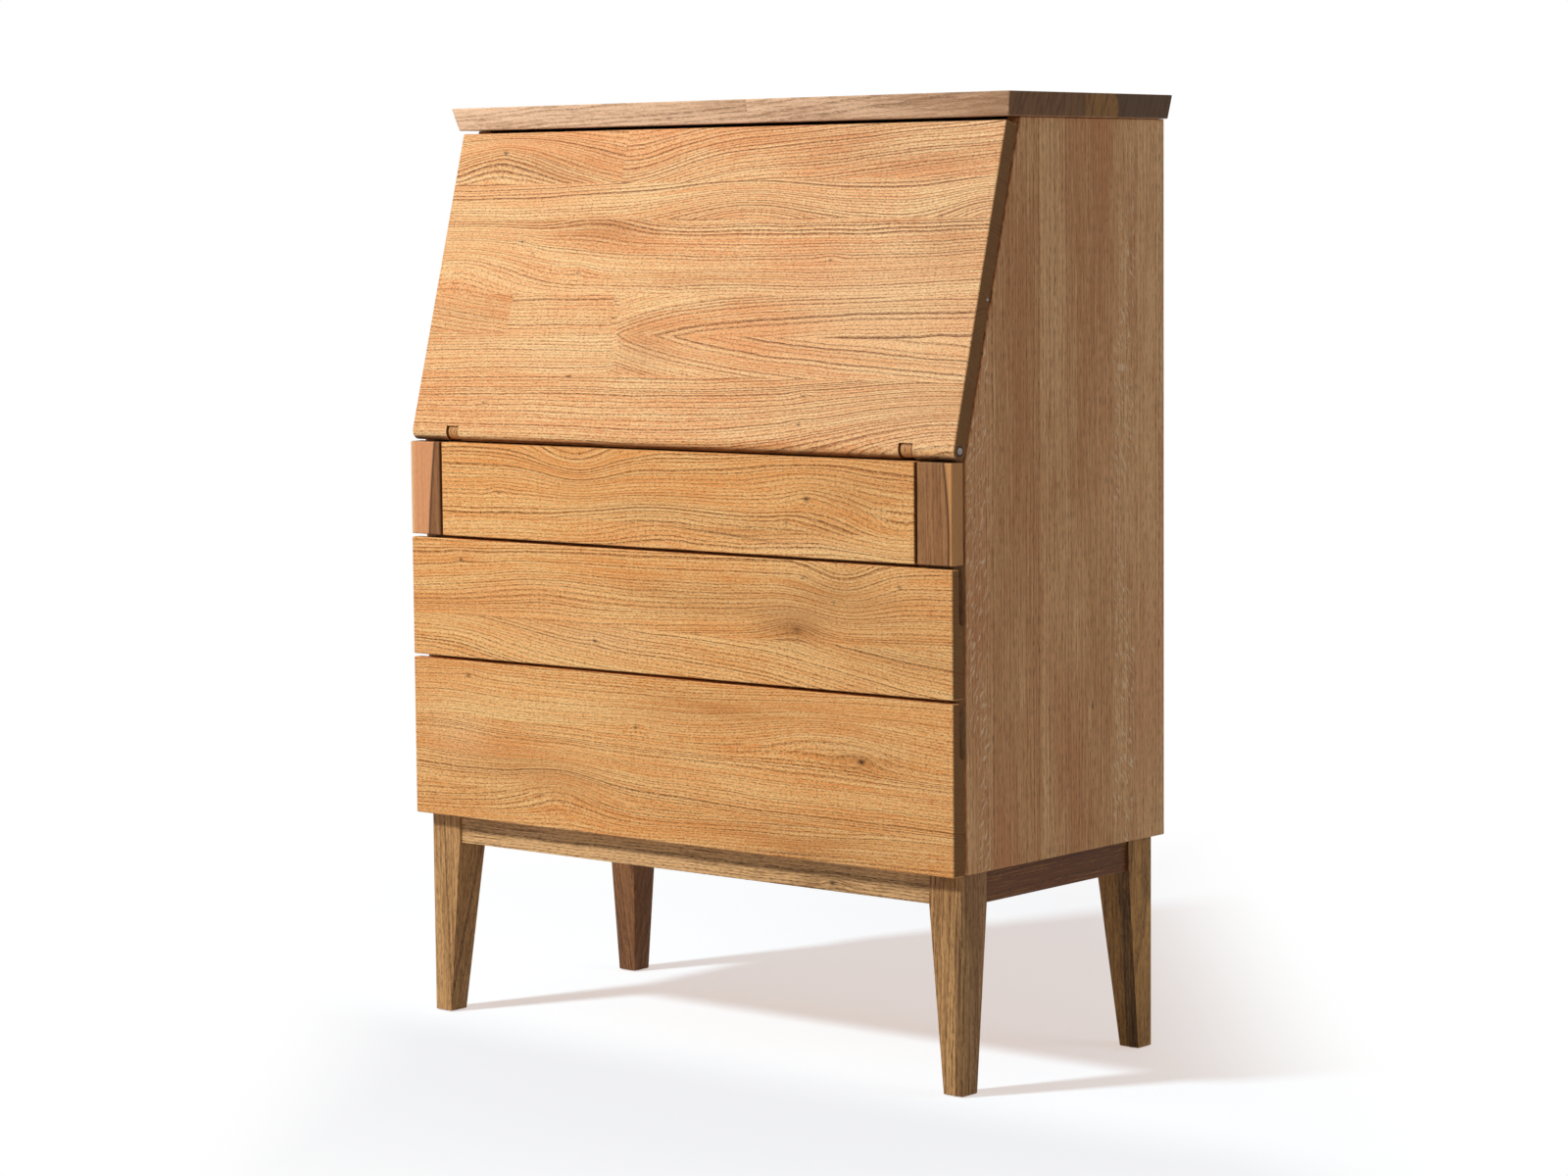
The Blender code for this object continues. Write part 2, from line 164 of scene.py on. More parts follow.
def timber(name, lay, stock, staves, base=0.0, face=0.0, lean=None, swells=(), fans=(), knots=(), shades=(),
           dress=None):
    """Oiled sawn wood. lay names the axes along the grain, across it and into the board.

    A stave's growth rings are tubes round its heart line, which lies at `heart` across the board and `cut` behind
    its face. Ring number = (distance from that line + taper x length along the grain) / pitch, and slow noise over
    that number makes broad bands. Swells and knots bend the lines by bell-shaped mounds, and slow noise makes them
    wander. A fan adds lift x exp(-length / reach) to the distance, so lines open from a point and run out level.
    Each ring starts with a thin dark band that is broken into dashes, and pores are short marks along the grain,
    thickest in that band. Shades lay a darker tone, or with a minus a paler one, in bell-shaped mounds. Across the
    end of a board the same rings and pores show as arcs and dots on a darker ground. Where face is None, the depth
    folds back and forth, so that plain boards at any level share one finish.

    Rows hold, for a stave: edge across, start along, heart, cut, slope, taper, tone, seed; for a swell: centre,
    reach, rise, and where it is kept to one stave its edges; for a fan: start, lift, reach, edges; for a knot:
    along, across, size, darkness; for a shade: centre, reach, amount.
    """
    finish, start = new_finish(name)
    place = own_place(start)
    normal = start.node("ShaderNodeTexCoord", {}, {}, "Normal")
    if lean:
        place = place.node("ShaderNodeVectorRotate", {"rotation_type": "X_AXIS"},
                           {"Vector": place, "Center": lean[0], "Angle": lean[1]})
    axes = dict(zip("xyz", split(place)))
    along, across, depth = axes[lay[0]], axes[lay[1]] - base, axes[lay[2]]
    depth = depth.math("PINGPONG", depth, FOLD) if face is None else depth - face
    facing = dict(zip("xyz", split(normal)))
    end, flat = (smooth(facing[axis].math("ABSOLUTE", facing[axis]), 0.75, 0.9) for axis in (lay[0], lay[2]))

    shape, kind = staves[0][2:5], staves[0][5:8]
    for row, begin, *values in staves[1:]:
        inside = across > row
        if begin is not None:
            inside = inside * (along > begin)
        chosen = {"data_type": "VECTOR"}
        shape = inside.node("ShaderNodeMix", chosen, {0: inside, 4: shape, 5: values[:3]}, 1)
        kind = inside.node("ShaderNodeMix", chosen, {0: inside, 4: kind, 5: values[3:]}, 1)
    heart, cut, slope = split(shape)
    taper, tone, seed = split(kind)

    # Noise is stretched along the grain: the factors are its waves in a metre along and across it.
    drift = cloud(triple(along * 2.3, across * 9.0 + seed, depth * 9.0), 2.0) - 0.5
    bent = across + drift * stock["wander"] - along * slope
    for centre, reach, rise, *rows in swells:
        swell = mound(along, across, centre, reach) * rise
        for low, high in rows:
            swell = swell * (across > low) * (1.0 - (across > high))
        bent = bent - swell
    spots = []
    for place_along, place_across, size, dark in knots:
        centre = (place_along, place_across)
        bent = bent - mound(along, across, (place_along, place_across + 1.2 * size),
                            (KNOT_LONG * size, KNOT_WIDE * size)) * (KNOT_BEND * size)
        spots.append((mound(along, across, centre, (1.3 * size, 0.75 * size)), dark))
    off_heart = squared(bent - heart) + squared(depth - cut)
    ripple = cloud(triple(along * 15.0, bent * 40.0, depth * 40.0 + seed), 3.0) - 0.5
    growth = off_heart.math("SQRT", off_heart) + along * taper
    for begin, lift, reach, (low, high) in fans:
        run = (along - begin) * (-1 / reach)
        inside = (across > low) * (1.0 - (across > high)) * (along > begin)
        growth = growth + run.math("EXPONENT", run) * inside * lift
    ring = growth * (1 / stock["pitch"]) + ripple * 0.9
    ring = ring + (cloud(triple(ring * 0.31, 0.0, seed), 1.0) - 0.5) * 2.6
    turn = ring.math("FLOOR", ring)
    within = ring - turn
    weight = turn.node("ShaderNodeTexWhiteNoise", {"noise_dimensions": "1D"}, {"W": turn + seed})
    early = (smooth(within, 0.0, 0.06) * (1.0 - smooth(within, 0.08, 0.40 + 0.30 * weight))
             * (0.40 + 0.60 * squared(weight)))
    late = smooth(within, 0.35, 1.0) * weight

    stretched = along * (1 / stock["long"])
    dash = smooth(cloud(triple(stretched * 75.0, bent * 500.0, depth * 500.0), 2.0, 0.6), 0.42, 0.64)
    pore = smooth(cloud(triple(stretched * 250.0, bent * 750.0, depth * 750.0), 1.0), 0.48, 0.62)
    fibre = cloud(triple(along * 8.0, bent * 260.0, depth * 260.0), 4.0, 0.7) - 0.5
    broad = cloud(triple(along * 2.4, bent * 15.0 + seed, depth * 15.0), 2.0) - 0.5
    band = cloud(triple(ring * 0.24, along * 1.6, seed), 1.0) - 0.5
    flush = smooth(cloud(triple(along * 1.9, bent * 8.0 - seed, depth * 8.0), 2.0), 0.5, 0.72)

    ground = tone + broad * 1.6 + band * 0.8 + fibre * 2.4 + dash * 0.4 - late * 0.35
    colour = laid_over(ground, stock["pale"], stock["deep"])
    colour = laid_over(flush * 0.4, colour, stock["flush"])
    for centre, reach, amount in shades:
        patch = mound(along, across, centre, reach) * (0.6 + broad * 2.2 + fibre * 1.4) * abs(amount)
        colour = laid_over(patch, colour, stock["shade" if amount > 0 else "glow"])
    colour = laid_over(early * (0.5 + 0.5 * dash) * stock["lined"], colour, stock["line"])
    colour = laid_over(pore * (0.38 + 0.6 * early) * stock["pored"], colour, stock["pore"])
    for spot, dark in spots:
        colour = laid_over(spot * dark, colour, stock["knot"])
    sawn_end = laid_over(0.6 * early + 0.35 * pore + 0.4 * fibre + broad, stock["end"], stock["pore"])
    colour = laid_over(end, colour, sawn_end)
    rough = stock["rough"] + 0.14 * pore * early + 0.10 * fibre + 0.12 * end
    height = fibre * 0.35 - pore * (0.3 + 0.7 * early)
    wires = SimpleNamespace(along=along, across=across, depth=depth, end=end, flat=flat, early=early, pore=pore,
                            fibre=fibre, broad=broad, colour=colour, rough=rough, height=height)
    if dress:
        dress(wires)
    finished(start, wires.colour, wires.rough, wires.height, WOOD_RELIEF, Specular_IOR_Level=stock["shine"])
    return finish


SHARP = math.radians(38)


def ring_stack(name, rings, finish, joined=False):
    """Skin through a stack of rings, an array of level, place round the ring and xyz. Each point is joined to the
    next one round and to the same one a level up; the end rings are capped, or joined to each other."""
    levels, count = rings.shape[:2]
    level, place = np.meshgrid(np.arange(levels if joined else levels - 1), np.arange(count), indexing="ij")
    low, high, following = level * count, (level + 1) % levels * count, (place + 1) % count
    quads = np.stack([low + place, low + following, high + following, high + place], -1).reshape(-1, 4)
    faces = quads.tolist()
    if not joined:
        faces += [list(range(count))[::-1], list(range((levels - 1) * count, levels * count))]
    mesh = bpy.data.meshes.new(name)
    mesh.from_pydata(rings.reshape(-1, 3).tolist(), [], faces)
    mesh.shade_smooth()
    mesh.set_sharp_from_angle(angle=SHARP)
    mesh.materials.append(finish)
    piece = bpy.data.objects.new(name, mesh)
    bpy.context.scene.collection.objects.link(piece)
    return piece


def rounded_square(low, high, radii, steps=8):
    """Points anticlockwise round a rectangle, each corner a quarter circle of its own radius, from the lowest
    corner on: corner centre + radius x (cos, sin) of an angle that turns a quarter at each corner."""
    radii = np.asarray(radii, float)
    corners = np.array([[low[0], low[1]], [high[0], low[1]], [high[0], high[1]], [low[0], high[1]]])
    inward = np.array([[1, 1], [-1, 1], [-1, -1], [1, -1]])
    centres = corners + inward * radii[:, None]
    angle = np.pi + np.pi / 2 * (np.arange(4)[:, None] + np.linspace(0, 1, steps))
    turned = np.stack([np.cos(angle), np.sin(angle)], -1)
    return (centres[:, None] + radii[:, None, None] * turned).reshape(-1, 2)


walnut = dict(pale=srgb(214, 165, 108), deep=srgb(148, 105, 62), line=srgb(90, 58, 32), pore=srgb(68, 43, 24),
              flush=srgb(150, 96, 60), knot=srgb(48, 32, 22), end=srgb(124, 90, 60), pitch=0.0052,
              wander=0.012, long=2.0, lined=0.65, pored=0.75, rough=0.44, shine=0.16)
LEG_TOP, APRON_UNDER, LEG_FOOT = 0.2607, 0.2225, 0.0013
LEG_WIDTH_TOP, LEG_WIDTH_FOOT = 0.048, 0.028
LEG_ROUND_TOP, LEG_ROUND_FOOT = 0.0015, 0.0020
LEG_BETWEEN = (0.06, 0.12, 0.18)
LEG_ARRIS = 0.0006
STREAK_SOFT = 0.0012


def heartwood_and_shade(bands):
    """Dark bands up the front, soft-edged across, each fading out at a height and broken up by the fibre: heartwood
    streaks, and painted shade where a leg stands in the carcass's shadow."""
    def dress(wires):
        for low, high, fade, dark, colour in bands:
            wave = wires.across + wires.broad * 0.006 + wires.fibre * 0.002
            band = (smooth(wave, low - STREAK_SOFT, low + STREAK_SOFT)
                    * (1.0 - smooth(wave, high - STREAK_SOFT, high + STREAK_SOFT)))
            band = band * (1.0 - smooth(wires.along, fade[0], fade[1])) * wires.flat
            wires.colour = laid_over(band * dark * (0.75 + wires.fibre * 0.9), wires.colour, colour)
    return dress


LEG_WALNUT = {
    "front_left": timber("walnut_leg_front_left", "zxy", walnut, [(0, None, -1.35, 0.4, 0.0, 0.03, 0.25, 3.1)]),
    "front_right": timber("walnut_leg_front_right", "zxy", walnut, [(0, None, 1.10, 0.5, 0.0, 0.03, 0.35, 21.4)],
                          dress=heartwood_and_shade([(0.4200, 0.4260, (0.15, 0.26), 0.75, srgb(92, 60, 36)),
                                           (0.4255, 0.4300, (0.15, 0.30), 0.9, srgb(62, 40, 24))])),
    # The rear left leg's darker stock is painted shade: the leg stands under the carcass, in its shadow.
    "rear_left": timber("walnut_leg_rear_left", "zxy",
                        {**walnut, "pale": srgb(162, 112, 72), "deep": srgb(120, 79, 50)},
                        [(0, None, -1.20, 0.6, 0.0, 0.03, 0.55, 33.8)]),
    # The rear right leg's first band covers its whole front face and is painted shade from the carcass above; the
    # second, near the outer corner, is a heartwood streak with that painted shade in it.
    "rear_right": timber("walnut_leg_rear_right", "zxy",
                         {**walnut, "pale": srgb(236, 180, 106), "deep": srgb(170, 118, 64)},
                         [(0, None, 1.35, 0.3, 0.0, 0.03, 0.35, 47.2)],
                         dress=heartwood_and_shade([(0.3700, 0.4140, (0.40, 0.50), 0.5, srgb(104, 70, 46)),
                                          (0.4140, 0.4330, (0.40, 0.50), 0.9, srgb(52, 36, 26))])),
}


def leg(row, word):
    """Square section with its outer corner fixed. Width and outer rounding are straight lines of the height
    between foot and apron, and constant above; the sole's edge is eased by drawing the lowest ring in."""
    low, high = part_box(f"leg_{row}_{word}")
    outer_x = low[0] if word == "left" else high[0]
    outer_y = low[1] if row == "front" else high[1]
    into_x, into_y = (1 if word == "left" else -1), (1 if row == "front" else -1)
    levels = np.array([LEG_FOOT, LEG_FOOT + LEG_ARRIS, *LEG_BETWEEN, APRON_UNDER, LEG_TOP])
    share = np.clip((levels - LEG_FOOT) / (APRON_UNDER - LEG_FOOT), 0, 1)
    widths = LEG_WIDTH_FOOT + (LEG_WIDTH_TOP - LEG_WIDTH_FOOT) * share
    rounds = LEG_ROUND_FOOT + (LEG_ROUND_TOP - LEG_ROUND_FOOT) * share
    insets = np.where(levels == LEG_FOOT, LEG_ARRIS, 0.0)
    rings = []
    for z, width, rounding, inset in zip(levels, widths, rounds, insets):
        outline = rounded_square((inset, inset), (width - inset, width - inset),
                                 (rounding, LEG_ARRIS, LEG_ARRIS, LEG_ARRIS))
        placed = np.column_stack([outer_x + into_x * outline[:, 0], outer_y + into_y * outline[:, 1],
                                  np.full(len(outline), z)])
        rings.append(placed if into_x * into_y > 0 else placed[::-1])
    piece = ring_stack(f"tapered_leg_{row}_{word}", np.array(rings), LEG_WALNUT[f"{row}_{word}"])
    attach(piece, "cabinet")
    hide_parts(f"leg_{row}_{word}")


for row in ("front", "rear"):
    for word in ("left", "right"):
        leg(row, word)


# Aprons. Four walnut rails between the legs just under the carcass, set back from the legs' faces.
# The long ones have their grain along the front, the short ones from front to back; their arrises are eased.
APRON_FACE_LONG, APRON_FACE_SHORT, APRON_EASED = -0.184, 0.4277, 0.0008
WELD_REACH, BEVEL_FROM = 0.00002, math.radians(30)


def clothe(name, finish, easing=0.0):
    """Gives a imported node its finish, and eases its arrises by a small bevel over its welded triangles."""
    node = nodes[name]
    for slot in node.material_slots:
        slot.material = finish
    if easing:
        weld = node.modifiers.new("weld", "WELD")
        weld.merge_threshold = WELD_REACH
        bevel = node.modifiers.new("eased", "BEVEL")
        bevel.width, bevel.segments = easing, 2
        bevel.limit_method, bevel.angle_limit = "ANGLE", BEVEL_FROM


LONG_APRON = timber("walnut_apron_long", "xzy", {**walnut, "pale": srgb(240, 192, 134), "lined": 0.5},
                    [(0, None, 0.60, 0.03, 0.004, 0.00, 0.15, 5.0)], face=APRON_FACE_LONG,
                    knots=[(0.235, 0.232, 0.004, 0.8)])
SHORT_APRON = timber("walnut_apron_short", "yzx", {**walnut, "pale": srgb(203, 148, 84), "deep": srgb(110, 62, 26)},
                     [(0, None, 0.60, 0.02, 0.01, 0.00, 0.98, 8.4)], face=APRON_FACE_SHORT)
for name, finish in (("front", LONG_APRON), ("rear", LONG_APRON), ("left", SHORT_APRON), ("right", SHORT_APRON)):
    clothe(f"apron_{name}", finish, APRON_EASED)


# Glides. A disc of pressed wool felt under each foot, cut with a slightly rounded edge and stuck on.
# The felt is dark, with short fibres that lie every way and a rough top.
def felt(name, ground, tip):
    """Pressed wool: two scales of tangled noise, the finer one as fibres on a mottled ground."""
    finish, start = new_finish(name)
    x, y, z = split(own_place(start))
    tangle = cloud(triple(x * 900.0, y * 900.0, z * 900.0), 3.0, 0.7)
    hair = smooth(cloud(triple(x * 2600.0 + tangle * 6.0, y * 700.0 - tangle * 9.0, z * 1500.0), 2.0), 0.5, 0.7)
    mottle = cloud(triple(x * 160.0, y * 160.0, z * 160.0), 2.0)
    colour = laid_over(hair * 0.6 + (mottle - 0.5) * 0.7, ground, tip)
    finished(start, colour, 0.9 + 0.08 * hair, hair + tangle, 0.0005, Specular_IOR_Level=0.1,
             Sheen_Weight=0.35, Sheen_Roughness=0.6)
    return finish


GLIDE_FELT = felt("glide_felt", srgb(52, 47, 42), srgb(98, 90, 82))
GLIDE_ROUND = 0.0006


def disc(name, centre, radius, levels, insets, finish, steps=40):
    """Circles stacked upwards, each drawn in by its inset."""
    angle = 2 * np.pi * np.arange(steps) / steps
    reach = radius - np.asarray(insets)[:, None]
    rings = np.stack([centre[0] + reach * np.cos(angle), centre[1] + reach * np.sin(angle),
                      np.broadcast_to(np.asarray(levels)[:, None], reach.shape[:1] + angle.shape)], -1)
    return ring_stack(name, rings, finish)


for row in ("front", "rear"):
    for word in ("left", "right"):
        low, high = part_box(f"foot_pad_{row}_{word}")
        turn = np.linspace(0, np.pi / 2, 5)
        levels = np.concatenate([low[2] + GLIDE_ROUND * (1 - np.cos(turn)), [high[2]]])
        insets = np.concatenate([GLIDE_ROUND * (1 - np.sin(turn)), [0.0]])
        middle = ((low[0] + high[0]) / 2, (low[1] + high[1]) / 2)
        piece = disc(f"felt_glide_{row}_{word}", middle, (high[0] - low[0]) / 2, levels, insets, GLIDE_FELT)
        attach(piece, "cabinet")
        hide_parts(f"foot_pad_{row}_{word}")


# Sides. Two oak panels glued up from upright staves, cut on the slant above the writing board.
# Most staves are quarter sawn, so their lines are straight and close, and bands of pale rays cross them.
oak = dict(pale=srgb(255, 206, 138), deep=srgb(240, 163, 90), line=srgb(128, 74, 28), pore=srgb(114, 66, 26),
           flush=srgb(236, 160, 94), knot=srgb(58, 30, 13), end=srgb(134, 94, 50), shade=srgb(176, 118, 62),
           glow=srgb(255, 216, 160), pitch=0.0068, wander=0.030, long=1.0, lined=1.0, pored=0.95, rough=0.48,
           shine=0.18)
side_oak = {**oak, "pale": srgb(254, 202, 144), "deep": srgb(208, 144, 92), "flush": srgb(226, 148, 98),
            "pitch": 0.0055, "wander": 0.006, "long": 3.0, "lined": 0.42, "pored": 0.8}
CARCASS_HALF = 0.4375
RAY_SOFT, RAY_BOW = 0.012, 0.012


def rays(bands):
    """Short pale streaks that cross the grain on a slant, in clusters, inside the bands: noise on turned axes."""
    def dress(wires):
        shown = None
        for low, high, lean in bands:
            inside = (smooth(wires.across, low, low + RAY_SOFT)
                      * (1.0 - smooth(wires.across, high - RAY_SOFT, high)))
            run = wires.along * math.cos(lean) + wires.across * math.sin(lean)
            over = wires.across * math.cos(lean) - wires.along * math.sin(lean)
            bow = cloud(triple(run * 30.0, over * 30.0, 0.0), 1.0) * RAY_BOW
            streak = smooth(cloud(triple(run * 75.0, (over + bow) * 330.0, 0.0), 1.0), 0.58, 0.64)
            cluster = smooth(cloud(triple(wires.along * 9.0, wires.across * 22.0, lean), 1.0), 0.38, 0.54)
            part = inside * streak * cluster
            shown = part if shown is None else shown + part
        shown = shown * wires.flat
        wires.colour = laid_over(shown * 0.75, wires.colour, srgb(255, 222, 180))
        wires.rough = wires.rough - 0.12 * shown
    return dress


RIGHT_SIDE = timber("oak_side_right", "zyx", side_oak, [
    (-0.3, None, -0.75, 0.02, 0.000, 0.000, 0.42, 1.3), (-0.135, None, -0.90, 0.05, 0.003, 0.000, 0.68, 2.9),
    (-0.040, None, 0.55, 0.03, 0.004, 0.000, 0.36, 4.4), (0.008, None, 0.80, 0.10, -0.003, 0.000, 0.60, 6.0),
    (0.100, None, -0.60, 0.05, 0.000, 0.000, 0.40, 7.7), (0.152, None, -0.80, 0.02, 0.002, 0.000, 0.10, 9.1)],
    face=CARCASS_HALF, knots=[(0.433, 0.061, 0.003, 0.7)],
    dress=rays([(-0.2, -0.134, 0.5), (0.098, 0.154, -0.45)]))
LEFT_SIDE = timber("oak_side_left", "zyx", side_oak, [
    (-0.3, None, 0.70, 0.02, 0.002, 0.000, 0.55, 11.6), (-0.118, None, 0.85, 0.04, 0.000, 0.000, 0.30, 12.2),
    (-0.020, None, -0.60, 0.03, -0.003, 0.000, 0.62, 14.9), (0.047, None, 0.70, 0.08, 0.002, 0.000, 0.40, 15.7),
    (0.128, None, -0.66, 0.04, 0.000, 0.000, 0.58, 17.5)],
    face=-CARCASS_HALF, dress=rays([(-0.022, 0.049, 0.5), (0.126, 0.22, -0.4)]))
clothe("side_right", RIGHT_SIDE)
clothe("side_left", LEFT_SIDE)


# Bottom and back. Thinner oak boards let in between the sides, the bottom with its grain from side to side
# and the back upright; both are plainer stock than the fronts, oiled once and left duller.
inner_oak = {**oak, "pale": srgb(240, 198, 148), "deep": srgb(214, 160, 106), "line": srgb(168, 114, 66),
             "lined": 0.7, "rough": 0.56}
NARROW, WIDE = 0.06, 0.11
BACK_FACE, BOARD_EASED = 0.206, 0.0006
WITHIN_SIDES, WITHIN_DEPTH, WITHIN_LEVELS = (-0.4175, 0.4175), (-0.21, 0.21), (0.26, 0.76)
cutting = np.random.default_rng(41)


def glued_up(low, high):
    """Staves of 6 to 11 cm from one edge to the other, each with its own heart line, cut, tone and ring seed."""
    widths = cutting.uniform(NARROW, WIDE, int((high - low) / NARROW) + 1)
    edges = low + np.concatenate([[0.0], np.cumsum(widths)])
    staves = []
    for edge, width in zip(edges.tolist(), widths.tolist()):
        if edge < high:
            heart = edge + width * cutting.uniform(-1.5, 2.5)
            staves.append((edge, None, heart, cutting.uniform(0.01, 0.07), cutting.uniform(-0.03, 0.03),
                           cutting.uniform(-0.06, 0.06), cutting.uniform(0.1, 0.8), cutting.uniform(0, 40)))
    return staves


BACK_OAK = timber("oak_back", "zxy", inner_oak, glued_up(*WITHIN_SIDES), face=BACK_FACE)
LEVEL_OAK = timber("oak_level_boards", "xyz", inner_oak, glued_up(*WITHIN_DEPTH), face=None)
clothe("back_panel", BACK_OAK, BOARD_EASED)
clothe("bottom_panel", LEVEL_OAK, BOARD_EASED)


# Drawer levels. Front and rear rails with runners between them carry the drawers, and two upright dividers
# part the top drawer from the lopers. All are planed oak with eased arrises.
RAIL_EASED = 0.0007
DEEP_OAK = timber("oak_deep_boards", "yzx", inner_oak, glued_up(*WITHIN_LEVELS), face=None)
for level in ("lower", "upper"):
    for name in ("front", "rear"):
        clothe(f"rail_{level}_{name}", LEVEL_OAK, RAIL_EASED)
    for name in ("left", "right"):
        clothe(f"runner_{level}_{name}", DEEP_OAK, RAIL_EASED)
for name in ("left", "right"):
    clothe(f"divider_{name}", DEEP_OAK, RAIL_EASED)


# Writing board and fitting. The fixed board behind the flap is slotted for the hinge knuckles; over it a shelf
# stands on two uprights. Light oak, grain along the shelf and upright in the uprights.
FITTING_DEPTH, FITTING_EASED = (-0.01, 0.21), 0.0009
UPRIGHT_OAK = timber("oak_uprights", "zyx", inner_oak, glued_up(*FITTING_DEPTH), face=None)
clothe("desk_board", LEVEL_OAK)
clothe("inner_shelf", LEVEL_OAK, FITTING_EASED)
for name in ("left", "right"):
    clothe(f"inner_upright_{name}", UPRIGHT_OAK, FITTING_EASED)


# Top. A walnut slab glued up from five rows of staves with the grain along it, undercut on the front and both ends.
# The front row is pale sapwood in two lengths; the sawn ends show the rows' different tones side by side.
slab_walnut = {**walnut, "pale": srgb(254, 212, 174), "deep": srgb(186, 142, 104), "flush": srgb(206, 158, 120),
               "line": srgb(134, 94, 62), "shade": srgb(170, 128, 94), "long": 1.0, "lined": 0.5, "pored": 0.35,
               "pitch": 0.0042}
SLAB_UNDER, SLAB_EASED = 1.1325, 0.0004
GOLD_EDGE, GREY_EDGE, EDGE_SOFT, EDGE_CURVE, EDGE_MIDDLE = 0.040, 0.104, 0.003, 28.0, 0.006


def stave_ends(wires):
    """Sawn ends: a warm gold stave beside a grey-brown one, both with a parabola for an edge, and dark streaks."""
    edge = wires.across + squared(wires.depth - EDGE_MIDDLE) * EDGE_CURVE
    grey = smooth(edge, GREY_EDGE, GREY_EDGE + EDGE_SOFT)
    gold = smooth(edge, GOLD_EDGE, GOLD_EDGE + EDGE_SOFT) * (1.0 - grey)
    streaks = cloud(triple(wires.across * 160.0, wires.depth * 30.0, 0.0), 2.0)
    tone = laid_over(gold, srgb(136, 98, 66), srgb(166, 120, 70))
    tone = laid_over(grey, tone, srgb(106, 80, 60))
    tone = laid_over(0.75 * smooth(streaks, 0.4, 0.75) + 0.3 * wires.early, tone, srgb(86, 58, 38))
    wires.colour = laid_over(wires.end, wires.colour, tone)


SLAB_WALNUT = timber("walnut_slab", "xyz", slab_walnut, [
    (-0.3, None, -0.16, 0.05, 0.02, 0.05, 0.04, 2.2), (-0.2, 0.050, -0.16, 0.05, -0.03, 0.05, 0.16, 3.7),
    (-0.0895, None, 0.02, 0.03, 0.00, 0.06, 0.75, 4.8),
    (-0.023, None, -0.10, 0.04, 0.02, -0.05, 0.85, 6.6), (0.0405, None, 0.09, 0.02, 0.00, 0.08, 0.50, 9.3),
    (0.1007, None, 0.30, 0.05, -0.02, 0.00, 0.95, 12.7)], face=SLAB_UNDER,
    shades=[((0.50, -0.11), (0.55, 0.05), 1.05)], dress=stave_ends)
clothe("top_slab", SLAB_WALNUT, SLAB_EASED)


# Drawer boxes. Thin oak sides, back and bottom behind each front, with eased arrises.
# The back and the bottom stand between the sides, and the bottom is raised clear of the runners.
BOX_EASED, BOX_FLOOR_EASED = 0.0006, 0.0004
BOX_SIDE_OAK = timber("oak_box_sides", "yzx", inner_oak, glued_up(*WITHIN_LEVELS), face=None)
BOX_BACK_OAK = timber("oak_box_backs", "xzy", inner_oak, glued_up(*WITHIN_LEVELS), face=None)
BOX_FLOOR_OAK = timber("oak_box_floors", "xyz", {**inner_oak, "rough": 0.6}, glued_up(*WITHIN_DEPTH), face=None)
for drawer in ("drawer_top", "drawer_middle", "drawer_bottom"):
    for name in ("left", "right"):
        clothe(f"{drawer}_side_{name}", BOX_SIDE_OAK, BOX_EASED)
    clothe(f"{drawer}_back", BOX_BACK_OAK, BOX_EASED)
    clothe(f"{drawer}_bottom", BOX_FLOOR_OAK, BOX_FLOOR_EASED)


# Drawer fronts. Overlay oak boards with the grain lying across, each glued up from two or three wide staves
# with flowing figure and pin knots; the two wide ones are hollowed behind their ends for the fingers,
# and the hollows carry painted shade.
FRONT_FACE, FRONT_EASED = -0.21, 0.0003
TOP_FOOT, MIDDLE_FOOT, BOTTOM_FOOT = 0.6204, 0.4662, 0.261
MIDDLE_HEIGHT, BOTTOM_HEIGHT = 0.150, 0.201
HOLLOW_LONG, HOLLOW_TALL, HOLLOW_BEHIND, HOLLOW_EDGE = 0.019, 0.0658, 0.0116, 0.0004


def streak(centre, reach, slope, dark, colour):
    """A long thin dark streak: a bell narrow across the grain, along a slanted line."""
    def dress(wires):
        tilted = wires.across - (wires.along - centre[0]) * slope
        mark = mound(wires.along, tilted, centre, reach) * (0.55 + 0.9 * wires.fibre + 0.4 * wires.pore)
        wires.colour = laid_over(mark * dark * (1.0 - wires.end), wires.colour, colour)
    return dress


def shaded_hollows(height, over=None):
    """Painted shade in the finger hollows behind a front's ends, near black: a box of the three coordinates."""
    def dress(wires):
        if over:
            over(wires)
        aside = wires.along.math("ABSOLUTE", wires.along)
        hollow_shade = ((aside > CARCASS_HALF - HOLLOW_LONG) * (1.0 - (aside > CARCASS_HALF - HOLLOW_EDGE))
                  * (wires.depth > HOLLOW_BEHIND) * (wires.across > height - HOLLOW_TALL))
        # Painted shade: the hollows are coloured near black where shade falls inside them.
        wires.colour = laid_over(hollow_shade * 0.95, wires.colour, srgb(38, 23, 13))
    return dress


